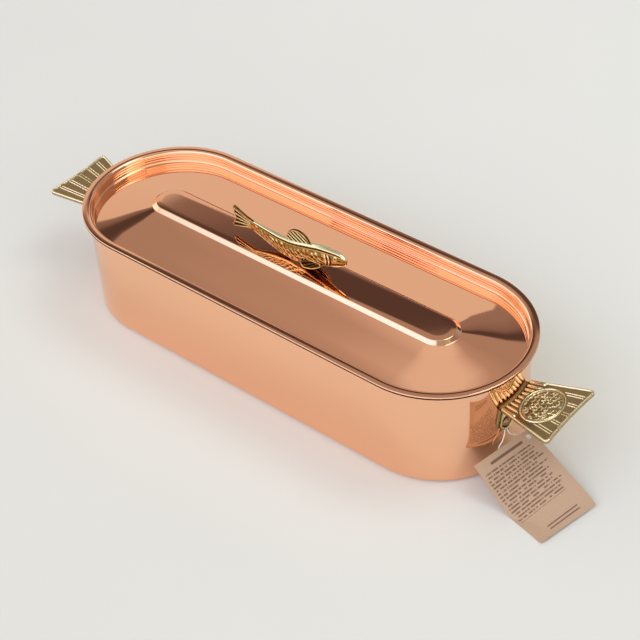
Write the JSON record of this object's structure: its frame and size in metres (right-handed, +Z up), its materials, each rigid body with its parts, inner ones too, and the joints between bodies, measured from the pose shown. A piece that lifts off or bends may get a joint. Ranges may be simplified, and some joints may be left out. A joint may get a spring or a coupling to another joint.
{
  "type": "fish stew pot",
  "caption": "Oblong copper fish pot with a drop-in lid, a cast brass fish for a knob, fish-tail end handles and a paper swing tag.",
  "frame": {"origin": "centre of the flat base, on the table, midway between the two handles", "axes": "+Z up, +X along the pot towards the handle with the scaled oval and the swing tag, +Y across the pot"},
  "size_m": [0.5345, 0.1496, 0.1239],
  "materials": {
    "copper": "mirror-polished copper",
    "brass": "cast and lightly polished",
    "copper_rivet": "domed, lightly tarnished copper",
    "screw_steel": "plain bright steel",
    "kraft_card": "uncoated kraft card",
    "string": "thin waxed cotton"
  },
  "bodies": {
    "pot": {"pot_body": "copper", "right_handle": "brass", "left_handle": "brass", "handle_rivets": "copper_rivet", "rivet_burrs": "copper_rivet", "hang_tag": "kraft_card", "tag_string": "string"},
    "lid": {"lid": "copper", "fish_knob": "brass", "knob_screws": "screw_steel", "knob_washers": "screw_steel"}
  },
  "joints": [
    {"name": "lid_lift", "type": "slide", "parent": "pot", "child": "lid", "axis": [0, 0, 1], "range_m": [0, 0.12]}
  ]
}
